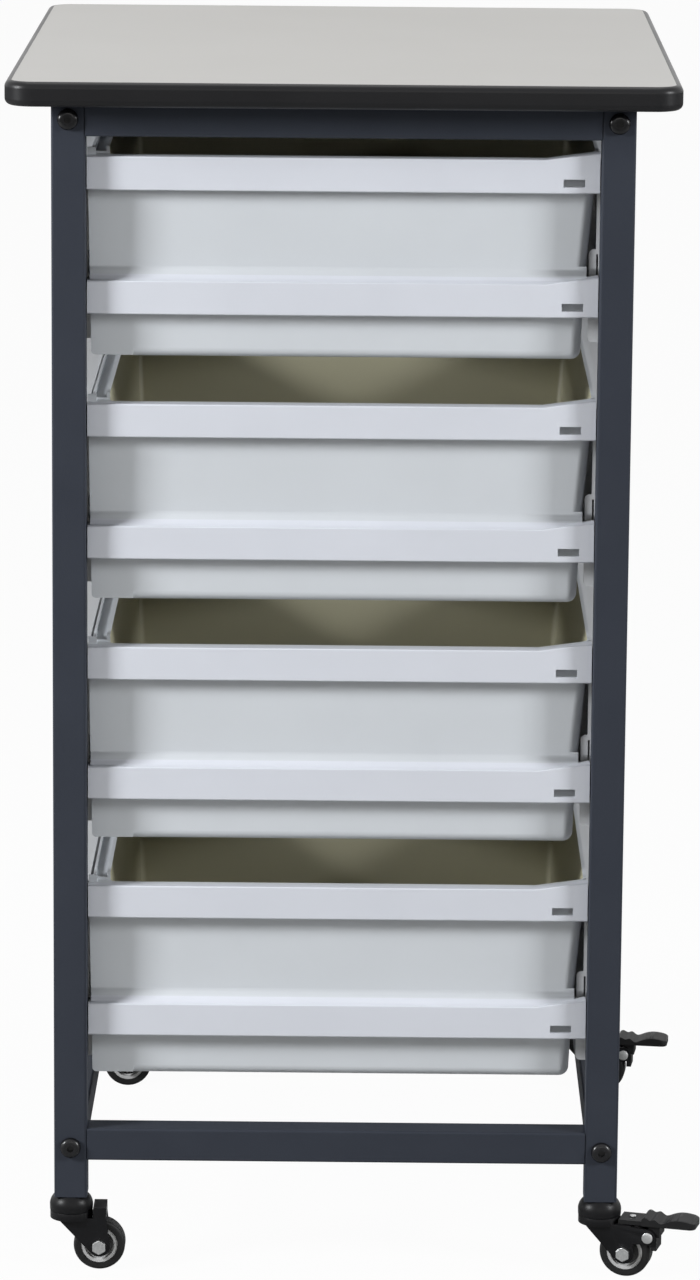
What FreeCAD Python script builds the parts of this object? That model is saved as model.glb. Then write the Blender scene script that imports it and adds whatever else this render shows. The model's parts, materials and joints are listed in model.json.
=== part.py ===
import FreeCAD, Part
import os
from FreeCAD import Placement, Rotation, Vector

# Mobile bin cart: a square-tube frame on four swivel casters, with a laminate table top and four deep
# bins that slide on side runners. X runs across the front, Y from front to back and Z up from the floor.
# While it is built, X = 0 is the middle of the frame and Y = 0 the front faces of the front posts.
# All lengths are in millimetres.

# Square-tube frame
tube_side = 25.4
tube_wall = 1.6
tube_corner = 1.8
tube_inner_corner_share = 0.4
frame_width = 436.4
frame_depth = 524.0
post_foot_z = 60.0
frame_top_z = 911.5
bottom_rail_z = 90.1
side_rail_width = 21.0

# Frame bolts, and the threaded plugs in the ends of the side rails that they pull on
bolt_dia = 8.0
bolt_head_dia = 16.0
bolt_head_height = 4.6
bolt_head_round = 3.6
bolt_socket_flats = 5.0
bolt_socket_depth = 2.6
bolt_hole_clearance = 0.3
bolt_bite = 12.0
low_bolt_drop = 2.4
insert_length = 16.0
insert_clearance = 0.1
insert_corner_share = 0.1
thread_clearance = 0.05

# Table top
side_overhang = 28.2
end_overhang = 29.8
table_thickness = 18.5
table_corner = 16.0
sheet_thickness = 0.8
edge_reach = 5.25
edge_round = 5.0
edge_clearance = 0.05
tongue_depth = 8.0
tongue_thickness = 2.4

# Screws up through the side top rails into the table
table_screw_dia = 5.0
table_screw_head_dia = 10.0
table_screw_head_height = 3.0
table_screw_bite = 12.0
table_screw_shares = (0.2, 0.8)
screw_clearance = 0.1

# Bins
bin_count = 4
top_bin_drop = 41.3
low_bin_gap = 38.9
bin_gap = 34.6
bin_wall = 2.6
bin_floor = 2.6
bin_corner = 8.0
bin_floor_round = 7.0
inner_round_share = 0.6
rim_rise = 5.5
left_rim_inset = 14.5
left_mid_inset = 18.0
left_floor_inset = 20.0
right_rim_inset = 1.4
right_mid_inset = 10.6
right_floor_inset = 13.2
rear_mid_taper = 5.0
rear_floor_taper = 7.0
rear_flange = 6.0
flange_thickness = 2.6
mid_flange_gap = 1.5
trough_depth = 4.0
trough_inset = 3.9
trough_edge = 2.0
trough_edge_drop = 1.0
wing_top_width = 6.3
wing_floor_inset = 3.4
wing_foot_rise = 1.4
wing_corner = 3.0

# Bands across the front of each bin, one at its rim and one half way down
band_setback = 10.0
band_reach = 11.0
band_height = 25.4
band_skin = 2.5
band_round = 1.0
band_end_gap = 0.8
cove_height = 12.0
cove_end_inset = 2.6
cove_sag_share = 0.2929
ramp_length = 40.0
slot_width = 16.2
slot_height = 6.0
slot_end_inset = 11.1
slot_rise = 4.8

# Side runners between the front and rear posts, one on each side of each bin
runner_skin = 2.5
runner_back = 20.0
web_back = 13.5
shelf_reach = 0.5
shelf_drop = 2.9
channel_reach = 8.0
tab_reach = 7.6
tab_rise = 24.8
tab_foot_gap = 13.0
tab_corner = 3.5
strip_reach = 2.4
strip_drop = 24.0
slit_width = 1.5
slit_height = 20.0
slit_inset = 0.6
slit_drop = 4.0
slide_gap = 0.3
bin_stop_gap = 0.4
runner_screw_dia = 4.0
runner_screw_head_dia = 7.6
runner_screw_head_height = 2.4
runner_screw_bite = 7.0
runner_screw_back = 6.6
runner_screw_shares = (0.14, 0.84)

# Casters: the wheel trails the swivel axis, which is the middle of the post
wheel_dia = 40.0
tyre_width = 16.0
tyre_round = 2.5
tyre_thickness = 5.7
hub_width = 15.0
hub_rim = 2.8
hub_web = 6.0
hub_boss_dia = 11.0
seat_clearance = 0.05
caster_trail = 21.9
axle_dia = 6.0
axle_nut_flats = 10.0
axle_nut_height = 3.6
axle_end = 1.4
running_clearance = 0.05
swivel_gap = 0.3
wheel_gap = 1.0
leg_gap = 1.7
leg_thickness = 2.2
axle_boss_dia = 16.5
fork_nose = 5.6
fork_back = 9.0
fork_roof = 1.6
fork_block_height = 10.0
crown_dia = 33.0
crown_height = 6.0
stem_dia = 8.0
stem_head_dia = 12.0
stem_head_height = 1.2
cup_dia = 33.5
cup_rim_height = 1.8
cup_top_dia = 25.0
cup_bulge_share = 0.2
plug_height = 25.0
front_right_yaw = -15.0
rear_right_yaw = -8.0

# Brake levers on the right-hand casters
pivot_back = 0.9
pivot_sink = 5.5
pin_dia = 3.6
pin_head_dia = 8.6
pin_head_height = 1.8
pivot_lug_dia = 12.0
pivot_hub_dia = 7.0
lever_start_gap = 0.7
lever_tip = 78.0
lever_clearance = 0.9
arm_thickness = 3.4
arm_width = 21.0
pedal_start = 36.0
pedal_thickness = 6.4
pedal_wave = 3.2
pedal_wave_shares = ((0.0, 0.6), (0.08, 1.0), (0.16, 0.55), (0.24, 0.8), (0.34, 0.0), (0.46, 0.3),
                     (0.62, 0.95), (0.8, 0.95), (1.0, 0.35))
lever_width = 24.0
lever_tip_round = 5.0
lever_neck = 9.0
lever_side_gap = 0.4
shoe_drop = 11.0
shoe_width = 4.0
shoe_gap = 2.0
rivet_dia = 2.4
rivet_head_dia = 5.0
rivet_head_height = 1.2
rivet_place = 26.7

overrun = 1.0

# Places that several pieces share
post_plane = frame_width / 2 - tube_side
post_axis_x = frame_width / 2 - tube_side / 2
front_axis_y = tube_side / 2
rear_axis_y = frame_depth - tube_side / 2
rear_post_y = frame_depth - tube_side
top_rail_z = frame_top_z - tube_side
table_top_z = frame_top_z + table_thickness
table_middle_y = frame_depth / 2

top_bin_z = frame_top_z - top_bin_drop
low_bin_z = bottom_rail_z + tube_side + low_bin_gap
bin_pitch = (top_bin_z - low_bin_z + bin_gap) / bin_count
bin_height = bin_pitch - bin_gap
mid_band_drop = bin_pitch / 2
band_half = post_plane - band_end_gap
bin_front_y = band_setback + band_reach
flange_rear_y = rear_post_y - runner_skin - bin_stop_gap
bin_rear_y = flange_rear_y - rear_flange
tab_top_drop = mid_band_drop - tab_rise
tab_bottom_drop = bin_height - tab_foot_gap
tab_height = tab_bottom_drop - tab_top_drop

wheel_z = wheel_dia / 2
tyre_bore_dia = wheel_dia - 2 * tyre_thickness
leg_inside = tyre_width / 2 + leg_gap
leg_outside = leg_inside + leg_thickness
roof_z = wheel_dia + wheel_gap
crown_top_z = roof_z + crown_height
cup_z = crown_top_z + swivel_gap
pivot_x = caster_trail + wheel_dia / 2 - pivot_back
pivot_z = wheel_dia - pivot_sink
lever_z = roof_z + fork_roof + lever_clearance
lever_start = cup_dia / 2 + lever_start_gap

left = -1
right = 1
along_x = Vector(1, 0, 0)
along_y = Vector(0, 1, 0)
along_z = Vector(0, 0, 1)


def block(x0, x1, y0, y1, z0, z1):
    return Part.makeBox(x1 - x0, y1 - y0, z1 - z0, Vector(x0, y0, z0))


def edges_along(shape, axis):
    return [edge for edge in shape.Edges if abs(edge.tangentAt(edge.FirstParameter).dot(axis)) > 0.9]


def rounded_block(x0, x1, y0, y1, z0, z1, radius, axis):
    solid = block(x0, x1, y0, y1, z0, z1)
    return solid.makeFillet(radius, edges_along(solid, axis))


def rod(radius, start, end):
    return Part.makeCylinder(radius, (end - start).Length, start, end - start)


def prism(points, sweep):
    return Part.Face(Part.makePolygon(points + points[:1])).extrude(sweep)


def hexagon(flats, start, end):
    corner = Vector(0, flats / 3 ** 0.5, 0)
    turn = Rotation(along_z, end - start)
    corners = [turn.multVec(Rotation(along_z, 60 * k).multVec(corner)) for k in range(6)]
    return prism([start + place for place in corners], end - start)


def inset_block(side, inner, outer, y0, y1, z0, z1):
    """A block between two distances from a side's post plane, counted towards the middle of the cart."""
    xs = sorted((side * (post_plane - inner), side * (post_plane - outer)))
    return block(xs[0], xs[1], y0, y1, z0, z1)


def fuse(shapes):
    return shapes[0].multiFuse(shapes[1:]).removeSplitter()


# Frame


def tube(x0, x1, y0, y1, z0, z1, axis):
    """A square tube between two corners, open at both ends of its axis."""
    wall = Vector(tube_wall, tube_wall, tube_wall) - axis * (tube_wall + overrun)
    outside = rounded_block(x0, x1, y0, y1, z0, z1, tube_corner, axis)
    inside = rounded_block(x0 + wall.x, x1 - wall.x, y0 + wall.y, y1 - wall.y, z0 + wall.z, z1 - wall.z,
                           tube_corner * tube_inner_corner_share, axis)
    return outside.cut(inside)


def bolt_levels():
    return (bottom_rail_z + tube_side / 2 - low_bolt_drop, top_rail_z + tube_side / 2)


def runner_screw_places(level):
    return [level - tab_top_drop - tab_height * share for share in runner_screw_shares]


def post(side, y0):
    """An upright, drilled for the frame bolts and for the screws of its runners."""
    x0 = side * post_axis_x - tube_side / 2
    upright = tube(x0, x0 + tube_side, y0, y0 + tube_side, post_foot_z, frame_top_z, along_z)
    drills = []
    for z in bolt_levels():
        start = Vector(side * post_axis_x, y0 - overrun, z)
        end = start + along_y * (tube_side + 2 * overrun)
        drills.append(rod(bolt_dia / 2 + bolt_hole_clearance, start, end))
    inner_face = tube_side - tube_wall if y0 == 0 else 0
    for level in bin_levels:
        for z in runner_screw_places(level):
            start = Vector(side * (post_plane + runner_screw_back), y0 + inner_face - overrun, z)
            end = start + along_y * (tube_wall + 2 * overrun)
            drills.append(rod(runner_screw_dia / 2 + screw_clearance, start, end))
    return upright.cut(drills)


def cross_rail(y0, z0):
    return tube(-post_plane, post_plane, y0, y0 + tube_side, z0, z0 + tube_side, along_x)


def side_rail(side, z0):
    x0 = side * post_axis_x - side_rail_width / 2
    return tube(x0, x0 + side_rail_width, tube_side, rear_post_y, z0, z0 + tube_side, along_y)


def table_screw_places():
    span = rear_post_y - tube_side
    ys = [tube_side + span * share for share in table_screw_shares]
    return [(side * post_axis_x, y) for side in (left, right) for y in ys]


def table_screw_holes():
    radius = table_screw_dia / 2 + screw_clearance
    rise = along_z * (tube_side + table_screw_bite + screw_clearance + overrun)
    starts = [Vector(x, y, top_rail_z - overrun) for x, y in table_screw_places()]
    return [rod(radius, start, start + rise) for start in starts]


def side_top_rail(side):
    return side_rail(side, top_rail_z).cut(table_screw_holes())


def frame_bolt(x, y, z, inward):
    """A button-head bolt whose head sits on a post's outer face."""
    seat = Vector(x, y, z)
    head = rod(bolt_head_dia / 2, seat, seat - inward * bolt_head_height)
    top = max(head.Edges, key=lambda edge: -edge.BoundBox.Center.dot(inward))
    head = head.makeFillet(bolt_head_round, [top])
    socket_end = seat - inward * (bolt_head_height - bolt_socket_depth)
    head = head.cut(hexagon(bolt_socket_flats, socket_end, seat - inward * (bolt_head_height + overrun)))
    return head.fuse(rod(bolt_dia / 2, seat, seat + inward * (tube_side + bolt_bite)))


def bolt_places():
    for side in (left, right):
        for z in bolt_levels():
            yield side * post_axis_x, 0, z, along_y
            yield side * post_axis_x, frame_depth, z, -along_y


def frame_bolts():
    return Part.makeCompound([frame_bolt(*place) for place in bolt_places()])


def rail_insert(x, y, z, inward):
    """A threaded plug in the end of a side rail."""
    half_x = side_rail_width / 2 - tube_wall - insert_clearance
    half_z = tube_side / 2 - tube_wall - insert_clearance
    middles = (bottom_rail_z + tube_side / 2, top_rail_z + tube_side / 2)
    middle = min(middles, key=lambda height: abs(height - z))
    ys = sorted((y + inward.y * tube_side, y + inward.y * (tube_side + insert_length)))
    plug = rounded_block(x - half_x, x + half_x, ys[0], ys[1], middle - half_z, middle + half_z,
                         half_x * insert_corner_share, along_y)
    start = Vector(x, ys[0] - overrun, z)
    end = start + along_y * (insert_length + 2 * overrun)
    return plug.cut(rod(bolt_dia / 2 + thread_clearance, start, end))


def rail_inserts():
    return Part.makeCompound([rail_insert(*place) for place in bolt_places()])


# Table top


def slab(grow, z0, z1):
    """A slab of the table's flat outline, grown outward all round."""
    half_x = frame_width / 2 + side_overhang + grow
    half_y = frame_depth / 2 + end_overhang + grow
    return rounded_block(-half_x, half_x, table_middle_y - half_y, table_middle_y + half_y, z0, z1,
                         table_corner + grow, along_z)


def table_groove(clearance):
    """The ring that the edge moulding's tongue fills in the board."""
    middle = (frame_top_z + table_top_z) / 2
    half = tongue_thickness / 2 + clearance
    outside = slab(edge_clearance, middle - half, middle + half)
    return outside.cut(slab(-tongue_depth - clearance, middle - half - overrun, middle + half + overrun))


def table_core():
    board = slab(0, frame_top_z + sheet_thickness, table_top_z - sheet_thickness)
    return board.cut([table_groove(edge_clearance)] + table_screw_holes())


def table_laminate():
    return slab(0, table_top_z - sheet_thickness, table_top_z)


def table_backer():
    return slab(0, frame_top_z, frame_top_z + sheet_thickness).cut(table_screw_holes())


def table_edge():
    """The rounded edge moulding, with its tongue."""
    outside = slab(edge_reach, frame_top_z, table_top_z)
    rims = [edge for edge in outside.Edges if abs(edge.tangentAt(edge.FirstParameter).z) < 0.5]
    outside = outside.makeFillet(edge_round, rims)
    ring = outside.cut(slab(edge_clearance, frame_top_z - overrun, table_top_z + overrun))
    return ring.fuse(table_groove(0))


def table_screw(x, y):
    seat = Vector(x, y, top_rail_z)
    head = rod(table_screw_head_dia / 2, seat - along_z * table_screw_head_height, seat)
    return head.fuse(rod(table_screw_dia / 2, seat, seat + along_z * (tube_side + table_screw_bite)))


def table_screws():
    return Part.makeCompound([table_screw(x, y) for x, y in table_screw_places()])


# Bins: heights are counted from the top of the rim, which is lifted to its level at the end

bin_levels = [top_bin_z - bin_pitch * k for k in range(bin_count)]


def side_insets(z):
    """How far the left, right and rear walls stand in from the rim's lines at a height."""
    stages = [(rim_rise, left_rim_inset, right_rim_inset, 0),
              (-mid_band_drop, left_mid_inset, right_mid_inset, rear_mid_taper),
              (-bin_height, left_floor_inset, right_floor_inset, rear_floor_taper)]
    upper, lower = stages[:2] if z > -mid_band_drop else stages[1:]
    share = (upper[0] - z) / (upper[0] - lower[0])
    return [a + (b - a) * share for a, b in zip(upper[1:], lower[1:])]


def taper_outline(z, inset, corner):
    """The bin's outline at a height, drawn in by a wall's thickness, as a closed wire."""
    left_in, right_in, rear_in = side_insets(z)
    sheet = block(left_in + inset - post_plane, post_plane - right_in - inset, bin_front_y + inset,
                  bin_rear_y - rear_in - inset, z - overrun, z)
    sheet = sheet.makeFillet(corner, edges_along(sheet, along_z))
    top = max(sheet.Faces, key=lambda face: face.CenterOfMass.z)
    return top.OuterWire


def tapered_body(z_top, z_floor, inset, corner, floor_round):
    outlines = [taper_outline(z, inset, corner) for z in (z_top, -mid_band_drop, z_floor)]
    body = Part.makeLoft(outlines, True, True)
    foot = min(body.Faces, key=lambda face: face.CenterOfMass.z)
    return body.makeFillet(floor_round, foot.Edges)


def bin_hollow():
    corner = bin_corner * inner_round_share
    return tapered_body(rim_rise + overrun, bin_floor - bin_height, bin_wall, corner,
                        bin_floor_round * inner_round_share)


def bin_wing():
    """The front wall's flat wing, which fills the space to the left-hand post."""
    rim_x = -band_half
    foot_x = wing_floor_inset - post_plane
    inner_x = left_floor_inset + bin_floor_round + bin_corner - post_plane
    foot_z = wing_foot_rise - bin_height
    points = [(rim_x, rim_rise), (foot_x, foot_z), (inner_x, foot_z), (inner_x, rim_rise)]
    wing = prism([Vector(x, bin_front_y, z) for x, z in points], along_y * bin_wall)
    corners = [edge for edge in edges_along(wing, along_y)
               if edge.CenterOfMass.x < inner_x - overrun and edge.CenterOfMass.z < -bin_height / 2]
    return wing.makeFillet(wing_corner, corners)


def front_dip():
    """What is cut from the top of the front wall, so that it dips between its two ends."""
    left_x = wing_top_width - band_half
    ramp_x = band_half - ramp_length
    points = [(left_x, 0), (ramp_x, 0), (band_half, rim_rise), (band_half, rim_rise + overrun),
              (left_x, rim_rise + overrun)]
    depth = bin_corner + 2 * overrun
    return prism([Vector(x, bin_front_y - overrun, z) for x, z in points], along_y * depth)


def band(z_top):
    """A hollow band across the front, open below, with a ramp up to its right end and a slot there."""
    front = band_setback
    back = bin_front_y + bin_wall / 2
    skin_end = band_half - band_skin
    foot = z_top - band_height
    points = [(-band_half, foot), (band_half, foot), (band_half, z_top + rim_rise),
              (band_half - ramp_length, z_top), (-band_half, z_top)]
    bar = prism([Vector(x, front, z) for x, z in points], along_y * (back - front))
    long_edges = [edge for edge in bar.Edges
                  if edge.BoundBox.YMax < front + overrun and edge.BoundBox.XLength > band_height]
    bar = bar.makeFillet(band_round, long_edges)
    inside = block(-skin_end, skin_end, front + band_skin, bin_front_y,
                   foot - overrun, z_top - band_skin)
    slot_x = band_half - slot_end_inset
    slot_z = foot + slot_rise
    slot = block(slot_x - slot_width, slot_x, front - overrun, front + band_skin + overrun,
                 slot_z, slot_z + slot_height)
    return bar.cut([inside, slot])


def cove(z_top):
    """The hollow-curved fillet from the mid band's top up to the bin's front wall."""
    start = Vector(0, band_setback + band_round, z_top)
    end = Vector(0, bin_front_y, z_top + cove_height)
    run = end.y - start.y
    middle = Vector(0, end.y - run * cove_sag_share, z_top + cove_height * cove_sag_share)
    foot = z_top - band_round
    back = bin_front_y + bin_wall / 2
    corners = [end, Vector(0, back, end.z), Vector(0, back, foot), Vector(0, start.y, foot), start]
    edges = [Part.Arc(start, middle, end).toShape()]
    edges += [Part.makeLine(a, b) for a, b in zip(corners, corners[1:])]
    right_x = post_plane - side_insets(end.z)[1]
    left_x = cove_end_inset - post_plane
    profile = Part.Face(Part.Wire(edges))
    profile.translate(Vector(left_x, 0, 0))
    return profile.extrude(along_x * (right_x - left_x))


def rear_rim():
    left_x = left_rim_inset - post_plane
    right_x = post_plane - right_rim_inset
    return block(left_x, right_x, bin_rear_y - bin_corner, flange_rear_y,
                 rim_rise - flange_thickness, rim_rise)


def left_trough():
    """The wide gutter along the left-hand rim, with an upturned outer edge."""
    floor_top = rim_rise - trough_depth
    outer = inset_block(left, trough_inset, left_mid_inset, bin_front_y, bin_rear_y,
                        floor_top - flange_thickness, floor_top)
    edge = inset_block(left, trough_inset, trough_inset + trough_edge, bin_front_y, bin_rear_y,
                       floor_top, rim_rise - trough_edge_drop)
    return outer.fuse(edge)


def mid_flange(side):
    top = -mid_band_drop
    wall = side_insets(top)[0 if side == left else 1]
    return inset_block(side, mid_flange_gap, wall + bin_wall / 2, bin_front_y,
                       flange_rear_y - rear_floor_taper, top - flange_thickness, top)


def storage_bin():
    body = tapered_body(rim_rise, -bin_height, 0, bin_corner, bin_floor_round)
    pieces = [body, bin_wing(), rear_rim(), left_trough(), mid_flange(left), mid_flange(right)]
    shell = fuse(pieces).cut([bin_hollow(), front_dip()])
    return fuse([shell, band(0), band(-mid_band_drop), cove(-mid_band_drop)])


# Runners, counted from the rim's top of the bin that they carry


def runner_shelf(side):
    return inset_block(side, -runner_back, shelf_reach, tube_side, rear_post_y,
                       -shelf_drop - runner_skin, -shelf_drop)


def runner_web(side):
    return inset_block(side, -web_back, runner_skin - web_back, tube_side, rear_post_y,
                       -tab_bottom_drop, -shelf_drop)


def runner_channel(side):
    """Two ledges, above and below the bin's mid flange."""
    above = slide_gap - mid_band_drop
    below = -mid_band_drop - flange_thickness - slide_gap
    return [inset_block(side, -web_back, channel_reach, tube_side, rear_post_y, above, above + runner_skin),
            inset_block(side, -web_back, channel_reach, tube_side, rear_post_y, below - runner_skin, below)]


def runner_tab(side, y0):
    """An end plate against a post, with a slit beside the post's edge."""
    xs = sorted((side * (post_plane + runner_back), side * (post_plane - tab_reach)))
    plate = rounded_block(xs[0], xs[1], y0, y0 + runner_skin, -tab_bottom_drop, -tab_top_drop,
                          tab_corner, along_y)
    slit_z = -tab_top_drop - slit_drop
    slit = inset_block(side, slit_inset, slit_inset + slit_width, y0 - overrun, y0 + runner_skin + overrun,
                       slit_z - slit_height, slit_z)
    return plate.cut(slit)


def runner_strip(side):
    """The narrow plate above the front tab, seen between the post and the bin."""
    return inset_block(side, -web_back, strip_reach, tube_side, tube_side + runner_skin,
                       -tab_top_drop - tab_corner, -strip_drop)


def flange_gate(side):
    """The notch in the front tab that the bin's mid flange slides through."""
    return inset_block(side, -runner_skin, tab_reach + overrun, tube_side - overrun, tube_side + runner_skin,
                       -mid_band_drop - flange_thickness - slide_gap, slide_gap - mid_band_drop)


def runner_drills(side):
    x = side * (post_plane + runner_screw_back)
    reach = along_y * (rear_post_y - tube_side + 2 * overrun)
    starts = [Vector(x, tube_side - overrun, z) for z in runner_screw_places(0)]
    return [rod(runner_screw_dia / 2 + screw_clearance, start, start + reach) for start in starts]


def runner(side):
    front_tab = runner_tab(side, tube_side)
    rear_tab = runner_tab(side, rear_post_y - runner_skin)
    pieces = [runner_shelf(side), runner_web(side), front_tab, runner_strip(side), rear_tab]
    pieces += runner_channel(side)
    return fuse(pieces).cut([flange_gate(side)] + runner_drills(side))


def runner_screw(x, seat_y, z, outward):
    seat = Vector(x, seat_y, z)
    head = rod(runner_screw_head_dia / 2, seat, seat - outward * runner_screw_head_height)
    return head.fuse(rod(runner_screw_dia / 2, seat, seat + outward * runner_screw_bite))


def runner_screws():
    screws = []
    for side in (left, right):
        x = side * (post_plane + runner_screw_back)
        for level in bin_levels:
            for z in runner_screw_places(level):
                screws.append(runner_screw(x, tube_side + runner_skin, z, -along_y))
                screws.append(runner_screw(x, rear_post_y - runner_skin, z, along_y))
    return Part.makeCompound(screws)


# Casters, built with the swivel axis on Z and the wheel trailing along X


def caster_mount():
    """The cup under the post, its square plug and the stem that the fork turns on."""
    rim_top = cup_z + cup_rim_height
    corners = [Vector(cup_top_dia / 2, 0, post_foot_z), Vector(0, 0, post_foot_z), Vector(0, 0, cup_z),
               Vector(cup_dia / 2, 0, cup_z), Vector(cup_dia / 2, 0, rim_top)]
    shoulder = (corners[0] + corners[-1]) / 2
    shoulder.x += (cup_dia - cup_top_dia) * cup_bulge_share
    edges = [Part.Arc(corners[-1], shoulder, corners[0]).toShape()]
    edges += [Part.makeLine(a, b) for a, b in zip(corners, corners[1:])]
    cup = Part.Face(Part.Wire(edges)).revolve(Vector(0, 0, 0), along_z, 360)
    half = tube_side / 2 - tube_wall - insert_clearance
    plug = rounded_block(-half, half, -half, half, post_foot_z, post_foot_z + plug_height,
                         half * insert_corner_share, along_z)
    head_top = roof_z - swivel_gap
    stem = rod(stem_dia / 2, Vector(0, 0, head_top), Vector(0, 0, cup_z))
    head = rod(stem_head_dia / 2, Vector(0, 0, head_top - stem_head_height), Vector(0, 0, head_top))
    return fuse([cup, plug, stem, head])


def tangent_points(start, middle, radius):
    """Where the two lines from a point touch a circle, in the XZ plane."""
    away = start - middle
    along = radius ** 2 / away.Length
    across = (radius ** 2 - along ** 2) ** 0.5
    away.normalize()
    foot = middle + away * along
    step = along_y.cross(away) * across
    return foot - step, foot + step


def leg_plate(side, corners, middle, radius):
    """A flat plate of a leg: an outline that closes round a boss."""
    lift = along_y * side * leg_inside
    sweep = along_y * side * leg_thickness
    boss = rod(radius, middle + lift, middle + lift + sweep)
    return prism([corner + lift for corner in corners], sweep).fuse(boss)


def fork_leg(side, has_brake):
    """A side plate from the crown down to the axle, with a lug for the brake's pin."""
    axle_middle = Vector(caster_trail, 0, wheel_z)
    boss = axle_boss_dia / 2
    top = roof_z + fork_roof
    heel = Vector(-fork_back, 0, roof_z)
    nose = Vector(caster_trail + fork_nose, 0, top)
    low_touch = tangent_points(heel, axle_middle, boss)[0]
    far_touch = tangent_points(nose, axle_middle, boss)[1]
    outline = [heel, Vector(-fork_back, 0, top), nose, far_touch, low_touch]
    plates = [leg_plate(side, outline, axle_middle, boss)]
    if has_brake:
        lug = pivot_lug_dia / 2
        pivot = Vector(pivot_x, 0, pivot_z)
        outline = [Vector(caster_trail, 0, top), Vector(pivot_x, 0, pivot_z + lug),
                   Vector(pivot_x, 0, pivot_z - lug), Vector(caster_trail, 0, wheel_z + boss)]
        plates.append(leg_plate(side, outline, pivot, lug))
    return fuse(plates)


def cross_hole(x, z, radius):
    reach = along_y * (leg_outside + overrun)
    place = Vector(x, 0, z)
    return rod(radius, place - reach, place + reach)


def fork(has_brake):
    """The swivelling fork: a crown round the stem, a roof over the wheel and two legs."""
    crown = rod(crown_dia / 2, Vector(0, 0, roof_z), Vector(0, 0, crown_top_z))
    nose_x = caster_trail + fork_nose
    roof = block(0, nose_x, -leg_outside, leg_outside, roof_z, roof_z + fork_roof)
    pieces = [crown, roof, fork_leg(left, has_brake), fork_leg(right, has_brake)]
    if not has_brake:
        pieces.append(block(lever_start, nose_x, -leg_outside, leg_outside,
                            roof_z, roof_z + fork_block_height))
    bore = rod(stem_dia / 2 + running_clearance, Vector(0, 0, roof_z - overrun),
               Vector(0, 0, crown_top_z + overrun))
    holes = [bore, cross_hole(caster_trail, wheel_z, axle_dia / 2 + running_clearance)]
    if has_brake:
        holes.append(cross_hole(pivot_x, pivot_z, pin_dia / 2 + running_clearance))
    return fuse(pieces).cut(holes)


def disc(radius, width):
    start = Vector(caster_trail, -width / 2, wheel_z)
    return rod(radius, start, start + along_y * width)


def tyre():
    tread = disc(wheel_dia / 2, tyre_width)
    tread = tread.makeFillet(tyre_round, [edge for edge in tread.Edges if edge.Closed])
    return tread.cut(disc(tyre_bore_dia / 2, tyre_width + 2 * overrun))


def hub():
    seat = tyre_bore_dia / 2 - seat_clearance
    rim = disc(seat, hub_width).cut(disc(seat - hub_rim, hub_width + 2 * overrun))
    web = disc(seat - hub_rim / 2, hub_web)
    boss = disc(hub_boss_dia / 2, 2 * (leg_inside - swivel_gap))
    return fuse([rim, web, boss]).cut(disc(axle_dia / 2 + running_clearance, 2 * leg_outside))


def axle():
    """The axle bolt with its hexagon head, and its nut."""
    middle = Vector(caster_trail, 0, wheel_z)
    face = along_y * leg_outside
    nut = along_y * axle_nut_height
    shank = rod(axle_dia / 2, middle - face, middle + face + nut + along_y * axle_end)
    head = hexagon(axle_nut_flats, middle - face, middle - face - nut)
    bored = hexagon(axle_nut_flats, middle + face, middle + face + nut)
    bored = bored.cut(rod(axle_dia / 2 + thread_clearance, middle, middle + face + nut + along_y * overrun))
    return Part.makeCompound([shank.fuse(head), bored])


def pedal():
    """The waved foot plate at the lever's outer end."""
    length = lever_tip - pedal_start
    top = lever_z + pedal_thickness
    crest = [Vector(pedal_start + length * a, 0, top - pedal_wave * (1 - b)) for a, b in pedal_wave_shares]
    curve = Part.BSplineCurve()
    curve.interpolate(crest)
    corners = [crest[-1], Vector(lever_tip, 0, lever_z), Vector(pedal_start, 0, lever_z), crest[0]]
    edges = [curve.toShape()] + [Part.makeLine(a, b) for a, b in zip(corners, corners[1:])]
    profile = Part.Face(Part.Wire(edges))
    profile.translate(-along_y * lever_width / 2)
    plate = profile.extrude(along_y * lever_width)
    middle_x = (pedal_start + lever_tip) / 2
    tips = [edge for edge in edges_along(plate, along_z) if edge.CenterOfMass.x > middle_x]
    return plate.makeFillet(lever_tip_round, tips)


def brake_lever():
    """A foot lever: an arm and pedal over the wheel, a neck down to its pivot and a shoe behind the tyre."""
    arm = block(lever_start, pedal_start, -arm_width / 2, arm_width / 2, lever_z, lever_z + arm_thickness)
    half = leg_inside - lever_side_gap
    neck = block(pivot_x, pivot_x + lever_neck, -half, half, pivot_z, lever_z + arm_thickness)
    pivot = Vector(pivot_x, -half, pivot_z)
    boss = rod(pivot_hub_dia / 2, pivot, pivot + along_y * 2 * half)
    shoe_z = pivot_z - shoe_drop
    tyre_x = caster_trail + ((wheel_dia / 2) ** 2 - (shoe_z - wheel_z) ** 2) ** 0.5
    shoe = block(tyre_x + shoe_gap, tyre_x + shoe_gap + shoe_width, -half, half, shoe_z, pivot_z)
    bore = cross_hole(pivot_x, pivot_z, pin_dia / 2 + running_clearance)
    return fuse([arm, pedal(), neck, boss, shoe]).cut([bore, rivet_shank(screw_clearance, overrun)])


def brake_pin():
    middle = Vector(pivot_x, 0, pivot_z)
    face = along_y * leg_outside
    head = along_y * pin_head_height
    pieces = [rod(pin_dia / 2, middle - face, middle + face),
              rod(pin_head_dia / 2, middle + face, middle + face + head),
              rod(pin_head_dia / 2, middle - face, middle - face - head)]
    return fuse(pieces)


def rivet_shank(clearance, past_end):
    start = Vector(rivet_place, 0, lever_z - past_end)
    return rod(rivet_dia / 2 + clearance, start, start + along_z * (arm_thickness + 2 * past_end))


def brake_rivet():
    seat = Vector(rivet_place, 0, lever_z + arm_thickness)
    return rivet_shank(0, 0).fuse(rod(rivet_head_dia / 2, seat, seat + along_z * rivet_head_height))


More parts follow.
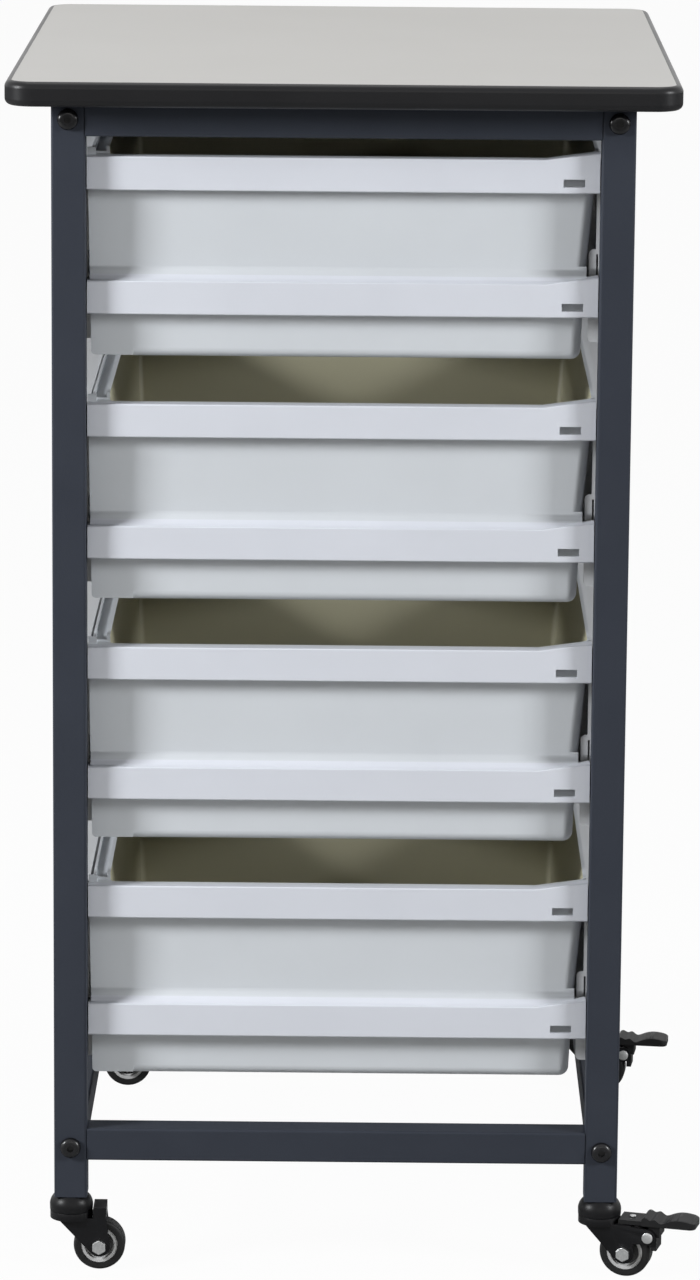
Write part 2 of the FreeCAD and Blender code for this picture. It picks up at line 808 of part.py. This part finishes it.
def caster_nodes(corner, side, y, yaw, has_brake):
    """The turning pieces of one caster, each under its own name."""
    pieces = {"fork": fork(has_brake), "hub": hub(), "tyre": tyre(), "axle": axle()}
    if has_brake:
        pieces.update(brake_lever=brake_lever(), brake_pin=brake_pin(), brake_rivet=brake_rivet())
    place = Placement(Vector(side * post_axis_x, y, 0), Rotation(along_z, yaw))
    return {f"{corner}_{name}": moved(shape, place) for name, shape in pieces.items()}


def moved(shape, place):
    copy = shape.copy()
    copy.Placement = place.multiply(copy.Placement)
    return copy


def lifted(shape, z):
    return moved(shape, Placement(along_z * z, Rotation()))


def caster_mounts():
    places = [(side * post_axis_x, y) for side in (left, right) for y in (front_axis_y, rear_axis_y)]
    spots = [Placement(Vector(x, y, 0), Rotation()) for x, y in places]
    return Part.makeCompound([moved(caster_mount(), spot) for spot in spots])


# The whole cart, piece by piece

casters = (("front_left", left, front_axis_y, 0, False), ("rear_left", left, rear_axis_y, 0, False),
           ("front_right", right, front_axis_y, front_right_yaw, True),
           ("rear_right", right, rear_axis_y, rear_right_yaw, True))
side_names = {left: "left", right: "right"}


def all_nodes():
    nodes = {"table_core": table_core(), "table_laminate": table_laminate(), "table_backer": table_backer(),
             "table_edge": table_edge(), "table_screws": table_screws()}
    for end, y in (("front", 0), ("rear", rear_post_y)):
        nodes[f"{end}_top_rail"] = cross_rail(y, top_rail_z)
        nodes[f"{end}_bottom_rail"] = cross_rail(y, bottom_rail_z)
        for side, name in side_names.items():
            nodes[f"{end}_{name}_post"] = post(side, y)
    single_bin = storage_bin()
    for side, name in side_names.items():
        nodes[f"{name}_top_rail"] = side_top_rail(side)
        nodes[f"{name}_bottom_rail"] = side_rail(side, bottom_rail_z)
        single_runner = runner(side)
        for number, level in enumerate(bin_levels, 1):
            nodes[f"runner_{number}_{name}"] = lifted(single_runner, level)
    for number, level in enumerate(bin_levels, 1):
        nodes[f"bin_{number}"] = lifted(single_bin, level)
    nodes.update(frame_bolts=frame_bolts(), rail_inserts=rail_inserts(), runner_screws=runner_screws(),
                 caster_mounts=caster_mounts())
    for caster in casters:
        nodes.update(caster_nodes(*caster))
    return nodes


def ground_middle(nodes):
    """The middle of the whole cart's box, on the floor."""
    boxes = [shape.optimalBoundingBox(False) for shape in nodes.values()]
    x = (min(box.XMin for box in boxes) + max(box.XMax for box in boxes)) / 2
    y = (min(box.YMin for box in boxes) + max(box.YMax for box in boxes)) / 2
    return Vector(x, y, 0)


cart = all_nodes()
origin = ground_middle(cart)
os.makedirs("parts", exist_ok=True)
for node, shape in cart.items():
    moved(shape, Placement(-origin, Rotation())).exportStep(f"parts/{node}.step")
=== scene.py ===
import bpy
import json
from math import cos, radians, sin
from mathutils import Matrix, Vector


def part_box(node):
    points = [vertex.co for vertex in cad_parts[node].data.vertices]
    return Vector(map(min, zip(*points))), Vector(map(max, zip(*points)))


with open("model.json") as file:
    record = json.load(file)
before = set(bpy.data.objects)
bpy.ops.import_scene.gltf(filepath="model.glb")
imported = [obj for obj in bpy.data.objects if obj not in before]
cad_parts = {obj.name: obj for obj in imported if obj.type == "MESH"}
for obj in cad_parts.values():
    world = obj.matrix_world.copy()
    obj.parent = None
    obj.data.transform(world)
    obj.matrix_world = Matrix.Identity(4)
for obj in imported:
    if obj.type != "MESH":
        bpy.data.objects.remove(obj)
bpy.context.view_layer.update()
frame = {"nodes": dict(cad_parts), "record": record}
cart = frame["nodes"]


# Studio: a pale seamless floor, a white surround, two soft boxes that stand well out to the sides, weak
# ones in front and overhead, and one behind that spares the floor. The surround is white to the lens and
# to reflections, and lights the cart only as a weak warm fill.
class Wire:
    """A shader value. Sums on wires add Math nodes, and node() adds any other kind."""

    def __init__(self, tree, socket=None):
        self.tree = tree
        self.socket = socket

    def node(self, kind, settings=None, sockets=None, output=0):
        node = self.tree.nodes.new(kind)
        for name, value in (settings or {}).items():
            if name == "stops":
                ramp = node.color_ramp.elements
                while len(ramp) < len(value):
                    ramp.new(0.5)
                for stop, (place, colour) in zip(ramp, value):
                    stop.position = place
                    stop.color = (*colour, 1.0)
            else:
                setattr(node, name, value)
        for name, value in (sockets or {}).items():
            if isinstance(value, Wire):
                self.tree.links.new(value.socket, node.inputs[name])
            else:
                node.inputs[name].default_value = value
        return Wire(self.tree, node.outputs[output] if node.outputs else None)

    def math(self, operation, first, second=0.0):
        return self.node("ShaderNodeMath", {"operation": operation}, {0: first, 1: second})

    def feed(self, shader, name):
        self.tree.links.new(self.socket, shader.inputs[name])

    def __add__(self, other):
        return self.math("ADD", self, other)

    def __mul__(self, other):
        return self.math("MULTIPLY", self, other)

    def __gt__(self, other):
        return self.math("GREATER_THAN", self, other)


def blend(share, low, high):
    """A colour wire between two others, by a wire from 0 to 1."""
    return share.node("ShaderNodeMix", {"data_type": "RGBA"}, {0: share, 6: low, 7: high}, 2)


def tint(share, low, high):
    """A colour wire between two fixed colours, by a wire from 0 to 1."""
    return blend(share, (*low, 1.0), (*high, 1.0))


def soft_box(name, place, aim, width, height, watts, colour):
    lamp = bpy.data.lights.new(name, "AREA")
    lamp.shape = "RECTANGLE"
    lamp.size = width
    lamp.size_y = height
    lamp.energy = watts
    lamp.color = colour
    box = bpy.data.objects.new(name, lamp)
    bpy.context.scene.collection.objects.link(box)
    box.location = place
    box.rotation_euler = (Vector(aim) - Vector(place)).to_track_quat("-Z", "Y").to_euler()
    return box


scene = bpy.context.scene
scene.view_settings.view_transform = "Standard"
surround = bpy.data.worlds.new("surround")
surround.use_nodes = True
surround.node_tree.nodes.clear()
scene.world = surround
sky = Wire(surround.node_tree)
seen = sky.math("MAXIMUM", sky.node("ShaderNodeLightPath", output="Is Camera Ray"),
                sky.node("ShaderNodeLightPath", output="Is Glossy Ray"))
seen = sky.math("MAXIMUM", seen, sky.node("ShaderNodeLightPath", output="Is Transmission Ray"))
pure_white = (1.0, 1.0, 1.0)
fill_colour = (0.07, 0.067, 0.058)
backdrop = tint(seen, fill_colour, pure_white)
glow = sky.node("ShaderNodeBackground", None, {"Color": backdrop, "Strength": 1.0})
sky.node("ShaderNodeOutputWorld", None, {"Surface": glow})

floor_reach = 15.0
floor_mesh = bpy.data.meshes.new("studio_floor")
corners = [(-floor_reach, -floor_reach, 0), (floor_reach, -floor_reach, 0), (floor_reach, floor_reach, 0),
           (-floor_reach, floor_reach, 0)]
floor_mesh.from_pydata(corners, [], [(0, 1, 2, 3)])
studio_floor = bpy.data.objects.new("studio_floor", floor_mesh)
scene.collection.objects.link(studio_floor)
paper = bpy.data.materials.new("studio_paper")
paper.use_nodes = True
paper.node_tree.nodes.clear()
sheet = Wire(paper.node_tree)
paper_glow = 0.965
paper_colour = (0.5, 0.5, 0.495)
bright = sheet.math("MAXIMUM", sheet.node("ShaderNodeLightPath", output="Is Camera Ray"),
                    sheet.node("ShaderNodeLightPath", output="Is Transmission Ray"))
matte = sheet.node("ShaderNodeBsdfDiffuse", None, {"Color": (*paper_colour, 1.0)})
white = sheet.node("ShaderNodeEmission", None, {"Color": (*pure_white, 1.0), "Strength": 1.0})
mixed = sheet.node("ShaderNodeMixShader", None, {0: bright * paper_glow, 1: matte, 2: white})
sheet.node("ShaderNodeOutputMaterial", None, {"Surface": mixed})
floor_mesh.materials.append(paper)

cool_light = (0.97, 0.985, 1.0)
warm_light = (1.0, 0.96, 0.86)
bin_fronts = (0.0, -0.2, 0.5)
cart_middle = (0.0, 0.0, 0.6)
table_middle = (0.0, 0.1, 0.9)
bin_backs = (0.0, 0.3, 0.5)
soft_box("left_box", (-2.9, -1.46, 1.7), bin_fronts, width=0.7, height=0.9, watts=136.0, colour=cool_light)
soft_box("right_box", (2.85, -1.55, 1.7), bin_fronts, width=0.7, height=0.9, watts=86.0, colour=cool_light)
soft_box("front_box", (0.2, -4.2, 1.7), cart_middle, width=1.2, height=1.0, watts=5.0, colour=warm_light)
soft_box("over_box", (0.0, 0.35, 3.0), table_middle, width=1.6, height=1.4, watts=16.0, colour=pure_white)
back_box = soft_box("back_box", (0.3, 3.6, 0.5), bin_backs, width=1.2, height=0.6,
                    watts=66.0, colour=cool_light)
back_box.visible_camera = False
back_box.visible_glossy = False
spared = bpy.data.collections.new("spared_by_back_box")
spared.objects.link(studio_floor)
spared.collection_objects[0].light_linking.link_state = "EXCLUDE"
back_box.light_linking.receiver_collection = spared


# Camera: stands in front of the cart, a little above the table and a little tilted, with a long lens.
# The whole cart is sharp, as a small stop gives it.
lens_place = Vector((0.00853, -4.4124, 1.39256))
lens_yaw = radians(0.232)
lens_pitch = radians(12.0805)
lens_roll = radians(-0.466)
lens_focus_px = 5590.8
image_height_px = 1280.0
sensor_height = 36.0
level = Vector((cos(lens_yaw), sin(lens_yaw), 0.0))
onward = Vector((-sin(lens_yaw), cos(lens_yaw), 0.0))
up = Vector((0.0, 0.0, 1.0))
ahead = onward * cos(lens_pitch) - up * sin(lens_pitch)
lifted = onward * sin(lens_pitch) + up * cos(lens_pitch)
sideways = level * cos(lens_roll) - lifted * sin(lens_roll)
upward = level * sin(lens_roll) + lifted * cos(lens_roll)
lens = bpy.data.cameras.new("studio_camera")
lens.sensor_fit = "VERTICAL"
lens.sensor_height = sensor_height
lens.lens = sensor_height * lens_focus_px / image_height_px
studio_camera = bpy.data.objects.new("studio_camera", lens)
scene.collection.objects.link(studio_camera)
turn = Matrix((sideways, upward, -ahead)).transposed().to_4x4()
studio_camera.matrix_world = Matrix.Translation(lens_place) @ turn
scene.camera = studio_camera


# Frame: posts and rails of one-inch square steel tube, welded front and back and bolted at the sides,
# powder coated in slate with the fine orange peel that such a coat has.
def finish(name, gloss=0.5):
    """A new material, a wire to start from and its shader."""
    material = bpy.data.materials.new(name)
    material.use_nodes = True
    shader = material.node_tree.nodes["Principled BSDF"]
    shader.inputs["Specular IOR Level"].default_value = gloss
    return material, Wire(material.node_tree), shader


def speckle(start, size, detail=2.0):
    """Noise whose grains are about that many metres across."""
    place = start.node("ShaderNodeTexCoord", output="Object")
    return start.node("ShaderNodeTexNoise", None, {"Vector": place, "Scale": 1.0 / size, "Detail": detail})


def relief(height, shader, depth):
    """Bump of that depth in metres."""
    height.node("ShaderNodeBump", None, {"Height": height, "Distance": depth}).feed(shader, "Normal")


def plain_finish(name, low, high, patch, grain, depth, rough_low, rough_high, gloss=0.5):
    """A solid-coloured finish with slow colour drift, fine grain and uneven gloss."""
    drift_share = 0.6
    fine_share = 0.4
    material, start, shader = finish(name, gloss)
    drift = speckle(start, patch)
    fine = speckle(start, grain)
    tint(drift * drift_share + fine * fine_share, low, high).feed(shader, "Base Color")
    (drift * (rough_high - rough_low) + rough_low).feed(shader, "Roughness")
    relief(fine, shader, depth)
    return material


def soften(piece, width, segments=2):
    """Breaks the sharp edges of a solid, as paint, moulding or tumbling does."""
    weld = piece.modifiers.new("weld", "WELD")
    weld.merge_threshold = 0.00001
    flat = piece.modifiers.new("flat", "DECIMATE")
    flat.decimate_type = "DISSOLVE"
    flat.angle_limit = radians(0.6)
    edge = piece.modifiers.new("edge", "BEVEL")
    edge.width = width
    edge.segments = segments
    edge.limit_method = "ANGLE"
    edge.angle_limit = radians(32.0)
    edge.harden_normals = True


def dress(piece, material, width=0.0):
    piece.data.materials.clear()
    piece.data.materials.append(material)
    if width:
        soften(piece, width)


slate_dark = (0.032, 0.0362, 0.0475)
slate_light = (0.044, 0.0495, 0.0635)
slate = plain_finish("slate_powder_coat", slate_dark, slate_light, patch=0.06, grain=0.0009,
                     depth=0.00006, rough_low=0.4, rough_high=0.52, gloss=0.04)
for name, piece in cart.items():
    if name.endswith(("_post", "_rail")):
        dress(piece, slate, 0.0003)


# Frame bolts: blackened button-head screws through the posts. The plugs, screws and inserts that they
# and the table hang on are zinc-plated steel.
bolt_dark = (0.004, 0.004, 0.005)
bolt_light = (0.009, 0.009, 0.01)
blackened = plain_finish("blackened_steel", bolt_dark, bolt_light, patch=0.01, grain=0.0004,
                         depth=0.00002, rough_low=0.2, rough_high=0.3, gloss=0.34)
zinc, start, shader = finish("zinc_plate")
zinc_roughness = 0.24
zinc_roughness_spread = 0.2
grain = speckle(start, 0.0012, 4.0)
tint(grain, (0.42, 0.43, 0.44), (0.66, 0.66, 0.65)).feed(shader, "Base Color")
(grain * zinc_roughness_spread + zinc_roughness).feed(shader, "Roughness")
shader.inputs["Metallic"].default_value = 1.0
relief(grain, shader, 0.00002)
dress(cart["frame_bolts"], blackened, 0.0002)
for name in ("rail_inserts", "table_screws", "runner_screws"):
    dress(cart[name], zinc, 0.0002)


# Table top: particle board with a pale grey laminate above, a black balancing sheet below and a black
# rounded moulding pressed into a groove round its edge.
laminate, start, shader = finish("grey_laminate", 0.35)
cloud_share = 0.5
fleck_share = 0.5
laminate_roughness = 0.42
laminate_roughness_spread = 0.12
cloud = speckle(start, 0.15)
fleck = speckle(start, 0.0008, 3.0)
pattern = cloud * cloud_share + fleck * fleck_share
tint(pattern, (0.5, 0.49, 0.47), (0.57, 0.56, 0.545)).feed(shader, "Base Color")
(fleck * laminate_roughness_spread + laminate_roughness).feed(shader, "Roughness")
relief(fleck, shader, 0.00003)
dress(cart["table_laminate"], laminate)
edge_dark = (0.006, 0.006, 0.007)
edge_light = (0.012, 0.012, 0.013)
moulding = plain_finish("black_moulding", edge_dark, edge_light, patch=0.08, grain=0.0007,
                        depth=0.00003, rough_low=0.3, rough_high=0.4, gloss=0.22)
dress(cart["table_edge"], moulding)
dress(cart["table_backer"], moulding)
board, start, shader = finish("particle_board")
chip_size = 0.002
place = start.node("ShaderNodeTexCoord", output="Object")
chip = start.node("ShaderNodeTexVoronoi", {"feature": "F1"}, {"Vector": place, "Scale": 1.0 / chip_size})
tint(chip, (0.42, 0.3, 0.18), (0.68, 0.54, 0.36)).feed(shader, "Base Color")
shader.inputs["Roughness"].default_value = 0.85
relief(chip, shader, 0.0002)
dress(cart["table_core"], board)


# Runners: white moulded side rails screwed between the posts, with a shelf along the top and a channel
# that carries the bin's mid flange.
runner_dark = (0.56, 0.57, 0.585)
runner_light = (0.63, 0.64, 0.655)
runner_white = plain_finish("runner_plastic", runner_dark, runner_light, patch=0.05, grain=0.0006,
                            depth=0.00003, rough_low=0.36, rough_high=0.48)
for name, piece in cart.items():
    if name.startswith("runner_") and name != "runner_screws":
        dress(piece, runner_white, 0.0003)


# Bins: deep white trays, each moulded in one shot with its rim, its two hollow bands and its flanges.
# The colour holds painted shade: the wall faces behind the bands are painted a greyer white, and the inside
# faces a darker, yellower one.
# Nothing fixes a bin: it hangs by its flanges in the runners' channels and slides out to the front.
def bin_plastic_with_painted_shade(name, low, high):
    """White plastic for a bin whose box has those corners, with painted shade: the wall faces behind the
    bands a greyer white and the inside faces a darker, yellower white.

    The depths are how far in from the box the bands end and the wall faces stand, and the leans are how much
    further in the wall faces stand for each metre down.
    """
    band_depth = 0.0085
    front_depth = 0.0123
    left_depth = 0.015
    left_lean = 0.035
    right_depth = 0.0024
    right_lean = 0.075
    drift_share = 0.6
    fine_share = 0.4
    bin_roughness = 0.34
    bin_roughness_spread = 0.12
    material, start, shader = finish(name, 0.45)
    drift = speckle(start, 0.07)
    fine = speckle(start, 0.0005)
    place = start.node("ShaderNodeTexCoord", output="Object")
    middle = (low + high) / 2
    inward = start.node("ShaderNodeVectorMath", {"operation": "SUBTRACT"}, {0: middle, 1: place})
    x, y, z = (start.node("ShaderNodeSeparateXYZ", None, {0: place}, axis) for axis in "XYZ")
    behind_bands = y > low.y + band_depth
    behind_front = y > low.y + front_depth
    past_left = x + z * left_lean > low.x + left_depth + high.z * left_lean
    past_right = x * -1.0 + z * right_lean > right_depth + high.z * right_lean - high.x
    normal = start.node("ShaderNodeTexCoord", output="Normal")
    facing = start.node("ShaderNodeVectorMath", {"operation": "DOT_PRODUCT"}, {0: inward, 1: normal}, "Value")
    shade = drift * drift_share + fine * fine_share
    bands = tint(shade, (0.575, 0.593, 0.645), (0.645, 0.663, 0.72))
    # Painted shade: the wall faces behind the bands take this greyer white, which stands for the shade they
    # sit in.
    painted_shade_walls = tint(shade, (0.53, 0.552, 0.58), (0.59, 0.615, 0.645))
    # Painted shade: the inside faces take this darker, yellower white, which stands for the deep shade inside
    # the bin.
    painted_shade_insides = tint(shade, (0.4, 0.382, 0.275), (0.46, 0.44, 0.318))
    outsides_with_painted_shade = blend(behind_bands, bands, painted_shade_walls)
    # Mask of the painted shade inside: faces turned inward, behind the front wall and between the two sides.
    painted_shade_inside_mask = (facing > 0.0) * behind_front * past_left * past_right
    blend(painted_shade_inside_mask, outsides_with_painted_shade, painted_shade_insides).feed(shader, "Base Color")
    (drift * bin_roughness_spread + bin_roughness).feed(shader, "Roughness")
    relief(fine, shader, 0.00003)
    return material


for name, piece in cart.items():
    if name.startswith("bin_"):
        low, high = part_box(name)
        dress(piece, bin_plastic_with_painted_shade(name + "_plastic", Vector(low), Vector(high)), 0.0006)


# Casters: black nylon forks that turn on mounts pressed into the posts, rubber tyres, plated axles, and
# dark grey foot brakes, riveted to the forks of the right-hand pair.
nylon_dark = (0.004, 0.004, 0.0045)
nylon_light = (0.009, 0.009, 0.01)
nylon = plain_finish("caster_nylon", nylon_dark, nylon_light, patch=0.02, grain=0.0005,
                     depth=0.00003, rough_low=0.3, rough_high=0.42, gloss=0.16)
rubber_dark = (0.006, 0.006, 0.006)
rubber_light = (0.013, 0.013, 0.013)
rubber = plain_finish("tyre_rubber", rubber_dark, rubber_light, patch=0.01, grain=0.0006,
                      depth=0.00005, rough_low=0.45, rough_high=0.6, gloss=0.25)
lever_dark = (0.013, 0.013, 0.0135)
lever_light = (0.02, 0.02, 0.0205)
lever_grey = plain_finish("lever_nylon", lever_dark, lever_light, patch=0.02, grain=0.0005,
                          depth=0.00003, rough_low=0.4, rough_high=0.52, gloss=0.1)
dress(cart["caster_mounts"], nylon, 0.0005)
for name, piece in cart.items():
    if name.endswith("_fork"):
        dress(piece, nylon, 0.0005)
    elif name.endswith("_tyre"):
        dress(piece, rubber)
    elif name.endswith(("_axle", "_brake_pin", "_brake_rivet")):
        dress(piece, zinc, 0.0003)
    elif name.endswith("_brake_lever"):
        dress(piece, lever_grey, 0.0005)


# Hubs: one plastic moulding each inside its tyre, which turns on the plated axle. The rim is pale and the
# dish inside it is dark.
ring_start = 0.0108
ring_share = 0.85
cloud_share = 0.15
dish_dark = (0.02, 0.02, 0.02)
ring_pale = (0.56, 0.56, 0.56)
hub_roughness = 0.3
hub_roughness_spread = 0.12
for joint in frame["record"]["behaviour"]["joints"]:
    if joint["name"].endswith("_roll"):
        corner = joint["name"][:-len("_roll")]
        hub_finish, start, shader = finish(corner + "_hub_plastic", 0.4)
        place = start.node("ShaderNodeTexCoord", output="Object")
        away = start.node("ShaderNodeVectorMath", {"operation": "SUBTRACT"}, {0: place, 1: joint["pos_m"]})
        round_axle = start.node("ShaderNodeVectorMath", {"operation": "CROSS_PRODUCT"},
                                {0: away, 1: joint["axis"]})
        radius = start.node("ShaderNodeVectorMath", {"operation": "LENGTH"}, {0: round_axle}, "Value")
        cloud = speckle(start, 0.0015)
        paleness = (radius > ring_start) * ring_share + cloud * cloud_share
        tint(paleness, dish_dark, ring_pale).feed(shader, "Base Color")
        (cloud * hub_roughness_spread + hub_roughness).feed(shader, "Roughness")
        relief(cloud, shader, 0.00002)
        dress(cart[corner + "_hub"], hub_finish, 0.0003)
